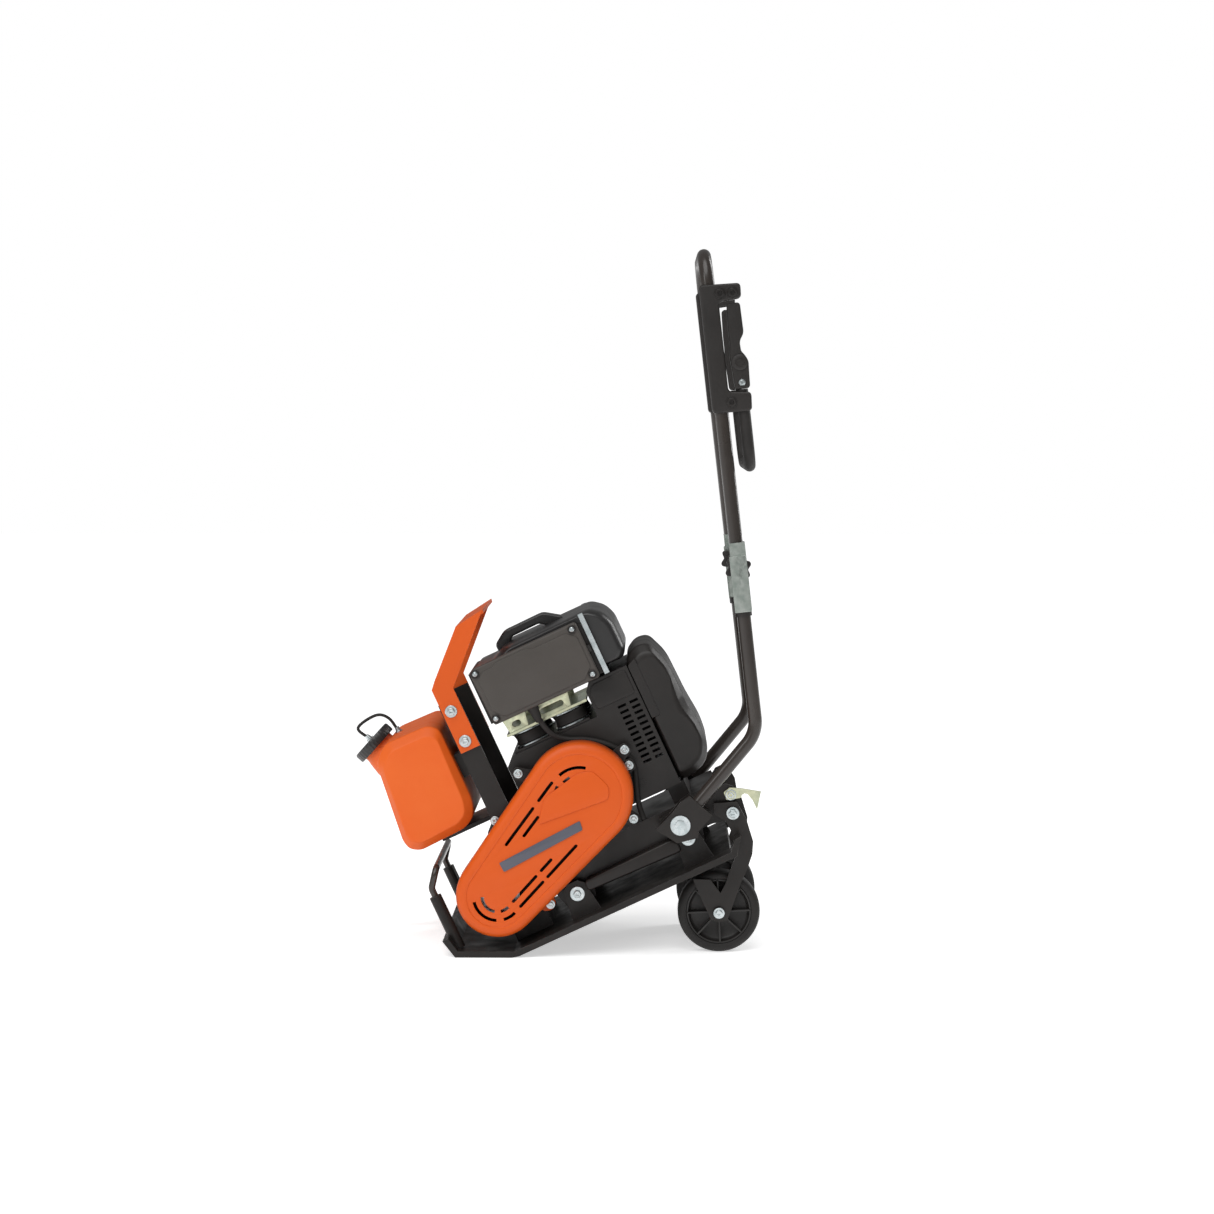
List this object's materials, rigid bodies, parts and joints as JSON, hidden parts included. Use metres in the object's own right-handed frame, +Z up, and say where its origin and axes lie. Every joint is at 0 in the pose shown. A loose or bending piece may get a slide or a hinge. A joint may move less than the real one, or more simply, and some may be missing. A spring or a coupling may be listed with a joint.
{
  "type": "plate compactor",
  "caption": "Forward plate compactor with an electric belt drive, water tank, folding operator handle and fold-under transport wheels, parked nose-down on its wheels.",
  "frame": {"origin": "centre of the footprint, on the ground under the parked machine", "axes": "+Z up, +X towards the operator at the rear, +Y towards the machine's right-hand side; the belt guard is on -Y"},
  "size_m": [0.6672, 0.35, 1.1309],
  "materials": {
    "cast_black": "satin black paint over cast iron",
    "frame_black": "satin black powder coat",
    "guard_orange": "satin orange powder coat",
    "tank_orange": "matt orange moulded plastic",
    "case_black": "fine-textured black plastic",
    "panel_grey": "matt dark grey plastic",
    "rubber_black": "matt black rubber",
    "wheel_rubber": "matt black rubber",
    "zinc": "bright zinc plate",
    "yellow_zinc": "yellow passivated zinc plate",
    "steel": "turned steel",
    "aluminium": "cast",
    "copper": "enamelled copper windings on a steel core"
  },
  "bodies": {
    "chassis": {"base_plate": "cast_black", "exciter_housing": "cast_black", "exciter_cover_left": "cast_black", "exciter_bearing_left": "steel", "exciter_bearing_right": "steel", "v_belt": "rubber_black", "belt_guard": "guard_orange", "guard_back_plate": "frame_black", "deck_frame": "frame_black", "shock_mount_front_left": "rubber_black", "shock_mount_rear_left": "rubber_black", "shock_mount_front_right": "rubber_black", "shock_mount_rear_right": "rubber_black", "motor_case": "case_black", "motor_rear_cover": "case_black", "motor_stator": "copper", "motor_controller": "aluminium", "isolator_plate": "yellow_zinc", "isolator_front_left": "rubber_black", "isolator_rear_left": "rubber_black", "isolator_front_right": "rubber_black", "isolator_rear_right": "rubber_black", "cradle_bracket": "yellow_zinc", "cradle_strap": "zinc", "battery_cradle": "case_black", "control_panel": "panel_grey", "power_cable": "rubber_black", "front_frame": "frame_black", "guard_bail": "guard_orange", "sprinkler_bar": "case_black", "lift_handle": "frame_black", "handle_bracket_left": "frame_black", "handle_pivot_bolt_left": "zinc", "handle_bracket_right": "frame_black", "handle_pivot_bolt_right": "zinc"},
    "exciter_rotor": {"exciter_shaft": "steel", "exciter_pulley": "steel"},
    "motor_rotor": {"motor_shaft": "steel", "drive_pulley": "steel"},
    "battery": {"battery_pack": "case_black"},
    "button": {"start_button": "rubber_black"},
    "tank": {"water_tank": "tank_orange", "cap_tether": "rubber_black"},
    "cap": {"tank_cap": "case_black"},
    "handle_base": {"handle_lower_left": "frame_black", "handle_lower_right": "frame_black", "fold_sleeve_left": "zinc", "fold_sleeve_right": "zinc"},
    "knob_left": {"fold_knob_left": "case_black"},
    "knob_right": {"fold_knob_right": "case_black"},
    "handle_top": {"handle_upper": "frame_black", "grip_bracket_left": "case_black", "grip_bracket_right": "case_black"},
    "grip": {"grip_link_left": "rubber_black", "grip_link_right": "rubber_black", "grip_loop": "rubber_black"},
    "wheel_carrier": {"wheel_bracket": "frame_black"},
    "left_wheel": {"wheel_left": "wheel_rubber"},
    "right_wheel": {"wheel_right": "wheel_rubber"},
    "latch": {"wheel_latch": "yellow_zinc"}
  },
  "joints": [
    {"name": "motor_spin", "type": "hinge", "parent": "chassis", "child": "motor_rotor", "pos_m": [0.04233, 0, 0.25938], "axis": [0, 1, 0], "continuous": true},
    {"name": "exciter_spin", "type": "hinge", "parent": "chassis", "child": "exciter_rotor", "pos_m": [-0.0896, 0, 0.09745], "axis": [0, 1, 0], "continuous": true},
    {"name": "battery_slide", "type": "slide", "parent": "chassis", "child": "battery", "axis": [0.2588, 0, 0.9659], "range_m": [0, 0.12]},
    {"name": "start_press", "type": "slide", "parent": "chassis", "child": "button", "axis": [-0.9063, 0, -0.4226], "range_m": [0, 0.003], "stiffness_N_per_m": 600},
    {"name": "tank_lift", "type": "slide", "parent": "chassis", "child": "tank", "axis": [-0.4226, 0, 0.9063], "range_m": [0, 0.15]},
    {"name": "cap_turn", "type": "hinge", "parent": "tank", "child": "cap", "pos_m": [-0.3026, 0, 0.32473], "axis": [-0.7431, 0, 0.6691], "continuous": true},
    {"name": "handle_fold", "type": "hinge", "parent": "chassis", "child": "handle_base", "pos_m": [0.20338, 0, 0.21333], "axis": [0, -1, 0], "range_deg": [0, 50]},
    {"name": "knob_left_turn", "type": "hinge", "parent": "handle_base", "child": "knob_left", "pos_m": [0.29556, -0.128, 0.62217], "axis": [0, 1, 0], "continuous": true},
    {"name": "knob_right_turn", "type": "hinge", "parent": "handle_base", "child": "knob_right", "pos_m": [0.29556, 0.128, 0.62217], "axis": [0, 1, 0], "continuous": true},
    {"name": "upper_fold", "type": "hinge", "parent": "handle_base", "child": "handle_top", "pos_m": [0.29556, 0, 0.62217], "axis": [0, -1, 0], "range_deg": [0, 70]},
    {"name": "grip_flex", "type": "hinge", "parent": "handle_top", "child": "grip", "pos_m": [0.30207, 0, 0.88656], "axis": [0, -1, 0], "range_deg": [-1.5, 1.5], "stiffness_Nm_per_rad": 300},
    {"name": "wheel_fold", "type": "hinge", "parent": "chassis", "child": "wheel_carrier", "pos_m": [0.28777, 0, 0.22852], "axis": [0, -1, 0], "range_deg": [0, 128]},
    {"name": "wheel_left_roll", "type": "hinge", "parent": "wheel_carrier", "child": "left_wheel", "pos_m": [0.26621, -0.108, 0.06653], "axis": [0, 1, 0], "continuous": true},
    {"name": "wheel_right_roll", "type": "hinge", "parent": "wheel_carrier", "child": "right_wheel", "pos_m": [0.26621, 0.108, 0.06653], "axis": [0, 1, 0], "continuous": true},
    {"name": "latch_swing", "type": "hinge", "parent": "chassis", "child": "latch", "pos_m": [0.28486, -0.12, 0.25629], "axis": [0, -1, 0], "range_deg": [0, 15], "stiffness_Nm_per_rad": 0.6, "springref_deg": -5.73}
  ],
  "couplings": [
    {"joint": "exciter_spin", "follows": "motor_spin", "ratio": 1.2572}
  ]
}
